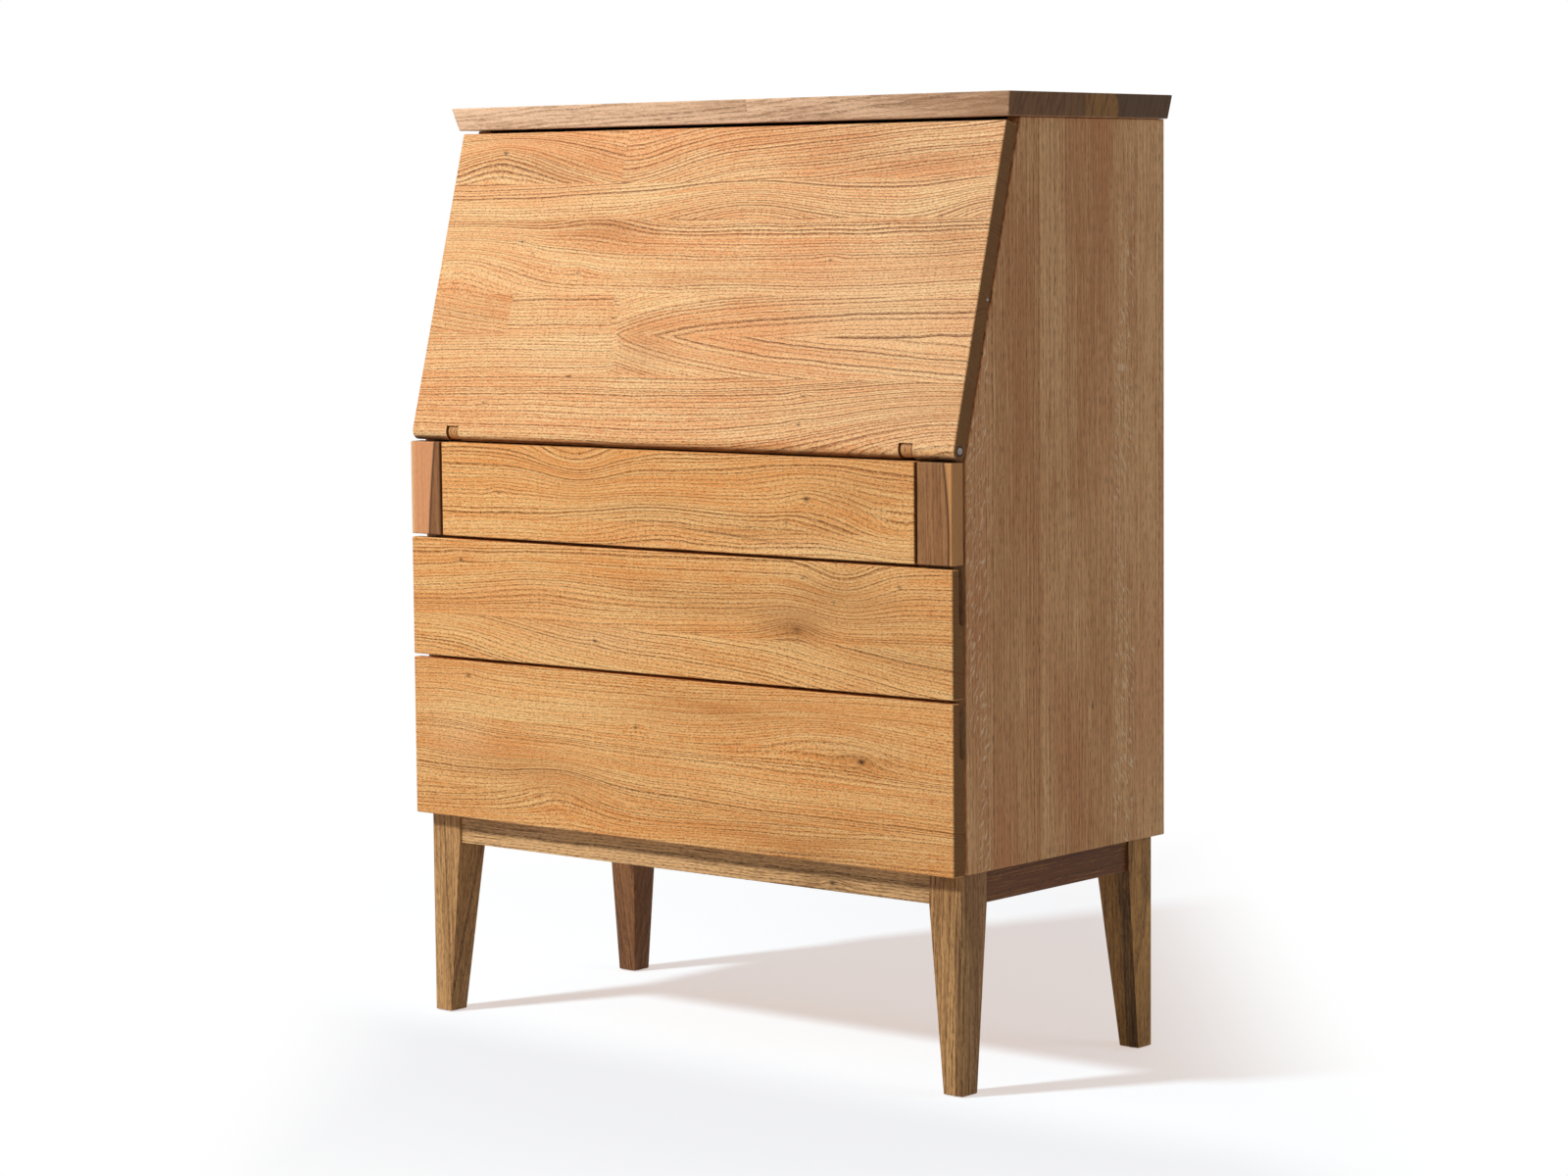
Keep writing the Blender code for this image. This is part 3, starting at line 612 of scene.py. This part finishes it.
TOP_FRONT = timber("oak_front_top", "xzy", {**oak, "pitch": 0.0046, "lined": 1.0}, [
    (-0.1, None, 0.30, 0.05, 0.00, 0.03, 0.45, 3.3), (0.030, None, 0.16, 0.03, -0.01, 0.02, 0.48, 5.2)],
    base=TOP_FOOT, face=FRONT_FACE,
    swells=[((-0.15, 0.115), (0.07, 0.05), -0.034), ((-0.02, 0.03), (0.12, 0.03), 0.014),
            ((0.23, 0.075), (0.09, 0.05), 0.016), ((0.36, 0.03), (0.08, 0.03), -0.016)],
    knots=[(0.221, 0.069, 0.0036, 0.9), (-0.28, 0.058, 0.003, 0.4), (0.19, 0.040, 0.0025, 0.5)],
    shades=[((0.26, 0.012), (0.12, 0.012), -0.6), ((-0.03, 0.045), (0.08, 0.015), 0.5),
            ((0.30, 0.08), (0.08, 0.03), 0.4), ((0.16, 0.030), (0.10, 0.010), 0.5)],
    dress=streak((0.095, 0.022), (0.07, 0.0022), -0.075, 0.8, srgb(112, 68, 34)))
MIDDLE_FRONT = timber("oak_front_middle", "xzy", {**oak, "pitch": 0.0041, "lined": 0.95, "wander": 0.02}, [
    (-0.1, None, 0.22, 0.04, -0.12, 0.02, 0.34, 6.1), (0.054, None, 0.28, 0.05, 0.00, 0.03, 0.48, 8.8)],
    base=MIDDLE_FOOT, face=FRONT_FACE,
    swells=[((0.28, 0.130), (0.06, 0.05), -0.022), ((0.20, 0.075), (0.06, 0.03), 0.010),
            ((-0.22, 0.09), (0.10, 0.04), 0.010), ((-0.35, 0.035), (0.10, 0.04), 0.012),
            ((0.12, 0.03), (0.20, 0.05), 0.014)],
    knots=[(0.205, 0.068, 0.005, 0.45), (-0.350, 0.125, 0.0028, 0.7), (-0.120, 0.035, 0.0026, 0.9),
           (0.360, 0.127, 0.0024, 0.6), (0.215, 0.130, 0.0022, 0.6), (0.262, 0.104, 0.0022, 0.5)],
    shades=[((0.20, 0.070), (0.05, 0.020), 1.0), ((0.27, 0.115), (0.08, 0.03), 0.8),
            ((0.05, 0.10), (0.14, 0.02), 0.5), ((-0.10, 0.04), (0.10, 0.02), -0.4), ((0.36, 0.05), (0.08, 0.03), 0.4)],
    dress=shaded_hollows(MIDDLE_HEIGHT))
BOTTOM_FRONT = timber("oak_front_bottom", "xzy", {**oak, "pitch": 0.0036, "lined": 0.88, "wander": 0.02}, [
    (-0.1, None, 0.20, 0.04, 0.010, 0.02, 0.55, 10.4), (0.041, None, 0.30, 0.06, -0.035, 0.02, 0.40, 12.1),
    (0.131, None, 0.34, 0.05, -0.01, 0.03, 0.46, 15.6)], base=BOTTOM_FOOT, face=FRONT_FACE,
    swells=[((0.24, 0.150), (0.13, 0.035), 0.020), ((-0.18, 0.05), (0.08, 0.035), 0.022),
            ((-0.40, 0.15), (0.10, 0.05), 0.010)],
    knots=[(0.302, 0.124, 0.0042, 1.0), (-0.340, 0.183, 0.003, 0.7), (-0.055, 0.138, 0.0028, 0.7)],
    shades=[((0.25, 0.02), (0.16, 0.02), 0.6), ((-0.25, 0.06), (0.14, 0.03), 0.4),
            ((0.05, 0.17), (0.15, 0.02), 0.4), ((0.30, 0.13), (0.06, 0.02), 0.4), ((-0.36, 0.12), (0.06, 0.04), -0.4)],
    dress=shaded_hollows(BOTTOM_HEIGHT, streak((0.20, 0.006), (0.07, 0.0020), 0.03, 0.85, srgb(96, 58, 30))))
clothe("drawer_top_front", TOP_FRONT, FRONT_EASED)
clothe("drawer_middle_front", MIDDLE_FRONT)
clothe("drawer_bottom_front", BOTTOM_FRONT)


# Lopers. Pull-out arms that carry the open flap: an oak arm with a walnut block on its front, its grain
# upright, sawn across the boundary of pale sapwood and dark heartwood, and a felt strip on the arm's top.
loper_walnut = {**walnut, "pale": srgb(172, 122, 78), "deep": srgb(132, 88, 54), "pitch": 0.006, "lined": 0.35,
                "pored": 0.4}
LOPER_MIDDLE, SEAM, RIM_SOFT = 0.68, 0.0020, 0.006
BLOCK_EASED, ARM_EASED = 0.0003, 0.0009
PAD_CROWN, PAD_CORNER = 0.0012, 0.003


def sapwood(boundary, outward, inner, outer, rim):
    """Sapwood beyond a boundary whose place across is a quadratic of the height, with a dark seam along it."""
    def dress(wires):
        height = wires.along - LOPER_MIDDLE
        across = wires.across - (boundary[0] + boundary[1] * height + boundary[2] * squared(height))
        sap = smooth(across * outward, -0.0003, 0.0003)
        seam = mound(across, height, (0.0, 0.0), (SEAM, 1.0))
        pink = laid_over(0.5 + wires.broad * 1.4 + wires.fibre * 0.7, inner, outer)
        pink = laid_over(smooth(wires.across * outward, rim, rim + RIM_SOFT) * 0.7, pink, srgb(243, 192, 142))
        pink = laid_over(wires.early * 0.25 + wires.pore * 0.2, pink, srgb(172, 110, 66))
        wires.colour = laid_over(sap * (1.0 - wires.end), wires.colour, pink)
        wires.colour = laid_over(seam * 0.9, wires.colour, srgb(78, 48, 28))
    return dress


LEFT_LOPER = timber("walnut_loper_left", "zxy", loper_walnut, [(0, None, -0.9, 0.1, 0.0, 0.02, 0.75, 2.0)],
                    face=FRONT_FACE, dress=sapwood((-0.4007, 0.1000, 0.30), -1.0, srgb(226, 160, 112),
                                                   srgb(214, 148, 100), 0.428))
RIGHT_LOPER = timber("walnut_loper_right", "zxy", loper_walnut, [(0, None, 0.1, 0.1, 0.0, 0.02, 0.20, 7.0)],
                     face=FRONT_FACE, dress=sapwood((0.4315, -0.0600, -0.80), 1.0, srgb(216, 156, 98),
                                                    srgb(196, 138, 82), 0.44))
PAD_FELT = felt("rest_pad_felt", srgb(60, 56, 50), srgb(112, 104, 94))


def rest_pad(name):
    """Rounded rectangles stacked upwards. The upper edge is a quarter circle: level = top - crown x (1 - sin) and
    inset = crown x (1 - cos) of an angle that turns a quarter."""
    low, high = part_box(f"loper_{name}_pad")
    turn = np.linspace(0, np.pi / 2, 6)
    levels = np.concatenate([[low[2]], high[2] - PAD_CROWN + PAD_CROWN * np.sin(turn)])
    insets = np.concatenate([[0.0], PAD_CROWN * (1 - np.cos(turn))])
    rings = []
    for level, inset in zip(levels, insets):
        outline = rounded_square((low[0] + inset, low[1] + inset), (high[0] - inset, high[1] - inset),
                                 [PAD_CORNER] * 4)
        rings.append(np.column_stack([outline, np.full(len(outline), level)]))
    piece = ring_stack(f"felt_rest_{name}", np.array(rings), PAD_FELT)
    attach(piece, f"loper_{name}")
    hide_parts(f"loper_{name}_pad")


for name, finish in (("left", LEFT_LOPER), ("right", RIGHT_LOPER)):
    clothe(f"loper_{name}_front", finish, BLOCK_EASED)
    clothe(f"loper_{name}_arm", DEEP_OAK, ARM_EASED)
    rest_pad(name)


# Hinge knuckles. Oak blocks let into the writing board, their round noses in the flap's two notches.
# They are cut with the grain upright, so the nose shows long lines from top to bottom.
knuckle_oak = {**oak, "pale": srgb(216, 158, 100), "deep": srgb(184, 128, 76), "end": srgb(196, 142, 88),
               "pitch": 0.004, "lined": 0.7}
KNUCKLE_OAK = timber("oak_knuckle", "zxy", knuckle_oak, [(0, None, -0.8, 0.05, 0.0, 0.0, 0.30, 5.5)])
HINGE = (0.0, -0.1950, 0.75145)
NOSE, NOSE_ARRIS, NOSE_SLACK = 0.0096, 0.0010, 0.0013
NOSE_TURN = (250, -10)
SHOULDER = 0.0159


def knuckle(name):
    """Profile carried along the hinge: a round nose about the axis, a dip behind it for the flap's back, and a
    square tang. The first and last rings are drawn in towards the profile's middle to ease the arrises."""
    low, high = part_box(f"knuckle_{name}")
    end, under, over = high[1] - HINGE[1], low[2] - HINGE[2], high[2] - HINGE[2]
    angle = np.radians(np.linspace(*NOSE_TURN, 40))
    nose = NOSE * np.column_stack([np.cos(angle), np.sin(angle)])
    tang = np.array([[SHOULDER, over], [end, over], [end, under], [SHOULDER, under]])
    profile = np.concatenate([nose, tang])
    middle = np.where(profile[:, :1] < SHOULDER / 2, 0.0, (SHOULDER + end) / 2) * np.array([[1.0, 0.0]])
    inward = middle - profile
    inward /= np.linalg.norm(inward, axis=1, keepdims=True)
    first, last = low[0] + NOSE_SLACK, high[0] - NOSE_SLACK
    steps = [(first, NOSE_ARRIS), (first + NOSE_ARRIS, 0.0), (last - NOSE_ARRIS, 0.0), (last, NOSE_ARRIS)]
    rings = np.array([np.column_stack([np.full(len(profile), x), profile + inward * inset + HINGE[1:]])
                      for x, inset in steps])
    piece = ring_stack(f"oak_knuckle_{name}", rings[:, ::-1], KNUCKLE_OAK)
    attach(piece, "cabinet")
    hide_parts(f"knuckle_{name}")


for name in ("left", "right"):
    knuckle(name)


# Flap. The leaning fall front, glued up from oak staves of random length with cathedral figure, small knots
# and one split; its foot is rounded on the hinge line and its ends show dark end grain.
LEAN = math.radians(15.1)
FLAP_FOOT, FLAP_FACE = 0.7460, -0.20625
SPLIT_PLACE, SPLIT_REACH = (-0.181, 0.0785), (0.0045, 0.0010)


def flap_marks(wires):
    """Ring lines that grow heavier towards the right end and the top, painted shade on the foot where it turns into
    the hinge gap, and a short open split, dark and sunk."""
    heavy = smooth(wires.along, -0.10, 0.25)
    heavy = heavy.math("MAXIMUM", heavy, smooth(wires.across, 0.27, 0.34)) * wires.flat
    wires.colour = laid_over(wires.early * heavy * 0.4, wires.colour, srgb(112, 64, 28))
    # Painted shade on the foot's underside, where it turns into the hinge gap and little light reaches.
    foot_shade = 1.0 - smooth(wires.across, -0.0052, -0.0008)
    wires.colour = laid_over(foot_shade * 0.8, wires.colour, srgb(88, 54, 32))
    mark = mound(wires.along, wires.across, SPLIT_PLACE, SPLIT_REACH)
    wires.colour = laid_over(mark * 0.95, wires.colour, srgb(52, 30, 16))
    wires.height = wires.height - mark * 2.0


flap_oak = {**oak, "pale": srgb(255, 210, 150), "deep": srgb(240, 165, 103), "flush": srgb(240, 164, 106),
            "line": srgb(126, 72, 30), "pitch": 0.0036, "wander": 0.022}
FLAP_OAK = timber("oak_flap", "xzy", flap_oak, [
    (-0.1, None, 0.26, 0.06, -0.010, 0.02, 0.50, 1.7),
    (0.082, None, -0.06, 0.06, 0.030, 0.00, 0.28, 3.6), (0.082, -0.108, 0.164, 0.046, -0.050, 0.000, 0.42, 5.9),
    (0.132, None, 0.05, 0.05, -0.12, 0.00, 0.48, 7.3), (0.132, -0.300, 0.00, 0.06, 0.000, 0.00, 0.42, 8.2),
    (0.132, -0.125, 0.100, 0.046, 0.020, 0.000, 0.42, 5.6),
    (0.182, None, 0.46, 0.05, 0.000, 0.02, 0.38, 11.9),
    (0.278, None, 0.42, 0.05, 0.000, 0.01, 0.32, 13.4),
    (0.325, None, 0.52, 0.05, -0.020, 0.02, 0.50, 16.2), (0.325, -0.148, 0.50, 0.05, 0.050, 0.02, 0.44, 18.8)],
    base=FLAP_FOOT, face=FLAP_FACE, lean=(HINGE, LEAN), fans=[(-0.115, 0.028, 0.12, (0.082, 0.182))],
    swells=[((0.44, 0.03), (0.20, 0.06), 0.045, (-0.1, 0.082)),
            ((-0.42, 0.225), (0.17, 0.06), 0.040, (0.182, 0.278)),
            ((-0.17, 0.29), (0.08, 0.04), 0.018, (0.182, 0.278)),
            ((0.07, 0.270), (0.13, 0.05), 0.030, (0.278, 0.325)), ((0.44, 0.28), (0.07, 0.04), 0.026, (0.278, 0.325)),
            ((-0.36, 0.36), (0.09, 0.03), 0.020, (0.325, 0.5)), ((-0.13, 0.33), (0.10, 0.06), -0.022, (0.325, 0.5))],
    # The first mound, the paler one, is a painted highlight where the key lamp's sheen falls; the other mounds are
    # tone in the wood.
    shades=[((0.30, 0.17), (0.12, 0.06), -0.6), ((-0.07, 0.112), (0.05, 0.03), 0.4),
            ((0.02, 0.195), (0.10, 0.015), 0.4), ((-0.38, 0.155), (0.09, 0.03), 0.3),
            ((-0.17, 0.265), (0.09, 0.02), 0.4), ((-0.30, 0.345), (0.14, 0.02), 0.4),
            ((-0.20, 0.105), (0.18, 0.02), -0.5), ((0.36, 0.03), (0.10, 0.03), -0.4),
            ((0.30, 0.36), (0.16, 0.03), 0.4), ((0.38, 0.25), (0.06, 0.03), 0.3)],
    knots=[(-0.355, 0.366, 0.0030, 0.8), (-0.300, 0.250, 0.0024, 0.8), (-0.278, 0.235, 0.0020, 0.6),
           (-0.195, 0.210, 0.0036, 0.35), (0.210, 0.227, 0.0024, 0.6), (0.202, 0.062, 0.0024, 0.5),
           (0.202, 0.028, 0.0026, 0.6), (-0.320, 0.042, 0.0020, 0.7)],
    dress=flap_marks)
clothe("flap_panel", FLAP_OAK)


# Hinge pins. Two steel pins driven in from the flap's ends, each with a domed head in a counterbore in painted shade.
# The steel is drawn rod, a little dulled, with fine turning marks.
def steel(name):
    """Drawn steel: fine rings about the hinge line in roughness and relief, with a slight stain."""
    finish, start = new_finish(name)
    x, y, z = split(own_place(start))
    off_axis = squared(y - HINGE[1]) + squared(z - HINGE[2])
    marks = cloud(triple(off_axis.math("SQRT", off_axis) * 9000.0, x * 400.0, 0.0), 2.0)
    stain = cloud(triple(x * 300.0, y * 300.0, z * 300.0), 2.0)
    colour = laid_over(stain, srgb(142, 137, 132), srgb(104, 98, 92))
    finished(start, colour, 0.38 + 0.16 * marks + 0.08 * stain, marks, 0.00004, Metallic=1.0)
    return finish


PIN_STEEL = steel("pin_steel")


def bore_shade(name):
    """Painted shade in the counterbore: near black, with a little fibre."""
    finish, start = new_finish(name)
    x, y, z = split(own_place(start))
    fleck = cloud(triple(x * 900.0, y * 900.0, z * 900.0), 3.0)
    # Painted shade: the counterbore's ring is coloured near black where shade falls in it.
    colour = laid_over(fleck, srgb(38, 25, 16), srgb(66, 44, 28))
    finished(start, colour, 0.75 + 0.15 * fleck, fleck, 0.0001, Specular_IOR_Level=0.2)
    return finish


BORE_SHADE = bore_shade("counterbore")
PIN_DOME, PIN_PROUD, PIN_FLAT, PIN_SIDES = 0.0030, 0.0024, 0.0003, 40
BORE_SECTION = np.array([[0.0002, 0.0001], [-0.0001, 0.0002], [-0.0001, 0.0013], [0.0002, 0.0014], [0.0008, 0.0008]])


def circles(xs, reach, centre, sides, outward):
    """Circles about a line along x through the centre, one for each place and radius, turning with the end's side."""
    angle = 2 * np.pi * np.arange(sides) / sides * outward
    return np.stack([np.broadcast_to(xs[:, None], (len(xs), sides)), centre[0] + reach[:, None] * np.cos(angle),
                     centre[1] + reach[:, None] * np.sin(angle)], -1)


def domed_pin(name, centre, radius, root, tip, dome, flat, steps, sides, outward):
    """A round bar from its root to a domed head. At the head the place is tip - dome x (1 - sin) and the radius
    falls as the cosine of an angle that turns a quarter, with a small flat at the tip."""
    turn = np.linspace(0, np.pi / 2, steps)[:-1]
    xs = np.concatenate([[root], tip - outward * dome * (1 - np.sin(turn)), [tip]])
    reach = np.concatenate([[radius], radius * np.cos(turn), [flat]])
    return ring_stack(name, circles(xs, reach, centre, sides, outward), PIN_STEEL)


for name, outward in (("left", -1.0), ("right", 1.0)):
    low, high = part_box(f"hinge_pin_{name}")
    radius = (high[2] - low[2]) / 2
    piece = domed_pin(f"steel_pin_{name}", HINGE[1:], radius, low[0] if outward > 0 else high[0],
                      outward * (CARCASS_HALF + PIN_PROUD), PIN_DOME, PIN_FLAT, 7, PIN_SIDES, outward)
    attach(piece, "flap")
    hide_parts(f"hinge_pin_{name}")
    inward, around = BORE_SECTION.T
    rings = circles(outward * CARCASS_HALF - outward * inward, radius + around, HINGE[1:], PIN_SIDES, outward)
    piece = ring_stack(f"counterbore_{name}", rings[::-1], BORE_SHADE, joined=True)
    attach(piece, "flap")


# Stop pins. A thin steel pin in each end of the flap, near its back, where the shut flap could meet a stop.
# Only the rounded head stands out of the wood; the rest of the pin is taken to be inside.
STOP_UP, STOP_BEHIND, STOP_RADIUS = 0.179, 0.0066, 0.0021
STOP_DOME, STOP_ROOT, STOP_FLAT, STOP_SIDES = 0.0011, 0.003, 0.0002, 24
stop_centre = (HINGE[1] + STOP_UP * math.sin(LEAN) + STOP_BEHIND * math.cos(LEAN),
               HINGE[2] + STOP_UP * math.cos(LEAN) - STOP_BEHIND * math.sin(LEAN))
for name, outward in (("left", -1.0), ("right", 1.0)):
    piece = domed_pin(f"stop_pin_{name}", stop_centre, STOP_RADIUS, outward * (CARCASS_HALF - STOP_ROOT),
                      outward * (CARCASS_HALF + STOP_DOME), STOP_DOME, STOP_FLAT, 6, STOP_SIDES, outward)
    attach(piece, "flap")


# Floor. A pale studio floor that keeps the desk's shadow and fades to white away from it. The rays that show it
# see its own glow and the lamps' light; to all others it is a plain grey, so it throws no strong light back.
FLOOR_REACH = 14.0
FLOOR_MIDDLE, FLOOR_CLEAR, FLOOR_WHITE = (0.2, 0.3), 0.7, 1.6
FLOOR_ASIDE, ASIDE_RIGHT, ASIDE_LEFT = (0.762, 0.647), (0.42, 0.74), (0.40, 0.66)
NEAR_FROM, NEAR_TO, NEAR_SHARE = 0.10, 0.34, 0.95
FLOOR_GREY, FLOOR_LIT, FLOOR_SHADED = (0.55, 0.55, 0.56, 1.0), (0.60, 0.80, 0.90, 1.0), (0.60, 0.500, 0.462, 1.0)
FLOOR_NEAR, WHITE = (0.87, 0.87, 0.89, 1.0), (1.0, 1.0, 1.0, 1.0)


def showing(start):
    """1 for camera, glossy and transmission rays, and 0 for the rays that carry light."""
    direct, glossy, clear = (start.node("ShaderNodeLightPath", {}, {}, output)
                             for output in ("Is Camera Ray", "Is Glossy Ray", "Is Transmission Ray"))
    return direct.math("MAXIMUM", direct, glossy.math("MAXIMUM", glossy, clear))


finish, start = new_finish("studio_floor")
x, y, z = split(own_place(start))
away = squared(x - FLOOR_MIDDLE[0]) + squared(y - FLOOR_MIDDLE[1])
aside = x * FLOOR_ASIDE[0] + y * FLOOR_ASIDE[1]
fade = smooth(away.math("SQRT", away), FLOOR_CLEAR, FLOOR_WHITE)
fade = fade.math("MAXIMUM", fade, smooth(aside, *ASIDE_RIGHT))
fade = fade.math("MAXIMUM", fade, smooth(-aside, *ASIDE_LEFT))
plain = start.node("ShaderNodeBsdfDiffuse", {}, {"Color": FLOOR_GREY})
bright = start.node("ShaderNodeBsdfDiffuse", {}, {"Color": FLOOR_LIT})
glow, near, white = (start.node("ShaderNodeEmission", {}, {"Color": colour, "Strength": 1.0})
                     for colour in (FLOOR_SHADED, FLOOR_NEAR, WHITE))
seen = start.node("ShaderNodeAddShader", {}, {0: bright, 1: glow})
seen = start.node("ShaderNodeMixShader", {}, {0: smooth(-y, NEAR_FROM, NEAR_TO) * NEAR_SHARE, 1: seen, 2: near})
seen = start.node("ShaderNodeMixShader", {}, {0: fade, 1: seen, 2: white})
surface = start.node("ShaderNodeMixShader", {}, {0: showing(start), 1: plain, 2: seen})
start.node("ShaderNodeOutputMaterial", {}, {"Surface": surface})
mesh = bpy.data.meshes.new("studio_floor")
mesh.from_pydata([(-FLOOR_REACH, -FLOOR_REACH, 0), (FLOOR_REACH, -FLOOR_REACH, 0),
                  (FLOOR_REACH, FLOOR_REACH, 0), (-FLOOR_REACH, FLOOR_REACH, 0)], [], [(0, 1, 2, 3)])
mesh.materials.append(finish)
floor = bpy.data.objects.new("studio_floor", mesh)
bpy.context.scene.collection.objects.link(floor)


# Light and camera. A soft round lamp in front, a little to the left and above, a weak broad fill from the right,
# and an even white surround; a long lens looks at the front right corner from a little below the top's height.
DESK_MIDDLE = np.array([0.0, 0.0, 0.6])
KEY_HEIGHT = math.radians(35)
SURROUND_LIGHT = 0.2


def lamp(name, toward, distance, size, power):
    """A round area lamp at a distance from the desk's middle along a direction, facing back to it."""
    toward = np.asarray(toward, float) / np.linalg.norm(toward)
    light = bpy.data.lights.new(name, "AREA")
    light.shape, light.size, light.energy = "DISK", size, power
    source = bpy.data.objects.new(name, light)
    source.location = DESK_MIDDLE + toward * distance
    source.rotation_euler = Vector(toward).to_track_quat("Z", "Y").to_euler()
    bpy.context.scene.collection.objects.link(source)


lamp("key", (-0.44 * math.cos(KEY_HEIGHT), -0.90 * math.cos(KEY_HEIGHT), math.sin(KEY_HEIGHT)),
     distance=5.0, size=0.62, power=191.0)
lamp("fill", (0.92, 0.36, 0.30), distance=4.0, size=2.0, power=13.5)

world = bpy.data.worlds.new("surround")
world.use_nodes = True
world.node_tree.nodes.clear()
sky = Wire(world.node_tree)
strength = SURROUND_LIGHT + showing(sky) * (1.0 - SURROUND_LIGHT)
surround = sky.node("ShaderNodeBackground", {}, {"Color": WHITE, "Strength": strength})
sky.node("ShaderNodeOutputWorld", {}, {"Surface": surround})
bpy.context.scene.world = world

EYE = (3.27147, -3.84354, 1.02388)
YAW, PITCH, ROLL = (math.radians(angle) for angle in (40.33888, -5.285325, -0.51536))
FOCAL_PIXELS, PHOTO_WIDTH, SENSOR = 4138.148, 1600, 36.0
forward = np.array([-math.sin(YAW) * math.cos(PITCH), math.cos(YAW) * math.cos(PITCH), math.sin(PITCH)])
right = np.array([math.cos(YAW), math.sin(YAW), 0.0])
up = np.cross(right, forward)
tilted_right = right * math.cos(ROLL) + up * math.sin(ROLL)
tilted_up = up * math.cos(ROLL) - right * math.sin(ROLL)
lens = bpy.data.cameras.new("photo_view")
lens.sensor_width, lens.lens = SENSOR, FOCAL_PIXELS / PHOTO_WIDTH * SENSOR
lens.clip_end = 100.0
camera = bpy.data.objects.new("photo_view", lens)
placed = np.eye(4)
placed[:3, :3] = np.column_stack([tilted_right, tilted_up, -forward])
placed[:3, 3] = EYE
camera.matrix_world = Matrix(placed.tolist())
bpy.context.scene.collection.objects.link(camera)
bpy.context.scene.camera = camera
bpy.context.scene.view_settings.view_transform = "Standard"
